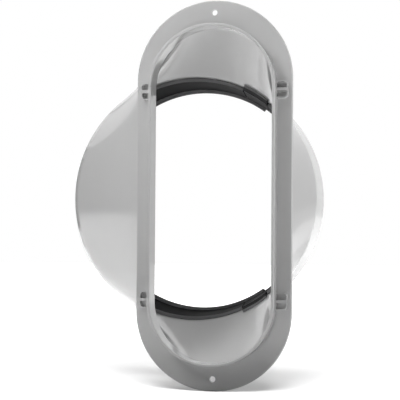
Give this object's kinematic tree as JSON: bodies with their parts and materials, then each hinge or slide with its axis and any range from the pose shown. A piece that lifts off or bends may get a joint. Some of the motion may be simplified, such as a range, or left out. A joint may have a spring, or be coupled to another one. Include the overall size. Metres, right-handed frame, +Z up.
{
  "type": "window vent hose adapter",
  "caption": "Flat stadium-shaped window spigot with a screw flange, widening through a thin-walled funnel into an offset round collar with a snap-in ring for an exhaust hose.",
  "frame": {"origin": "centre of the flange's seat face, midway between the two screw holes", "axes": "+Z up along the mouth's long axis, +Y from the window towards the hose, +X to the right seen from the window side"},
  "size_m": [0.169, 0.102, 0.248],
  "materials": {
    "grey_plastic": "light grey moulded plastic with a soft sheen",
    "black_plastic": "black moulded plastic, satin"
  },
  "bodies": {
    "root": {"adapter_body": "grey_plastic", "hose_ring": "black_plastic"}
  },
  "joints": []
}
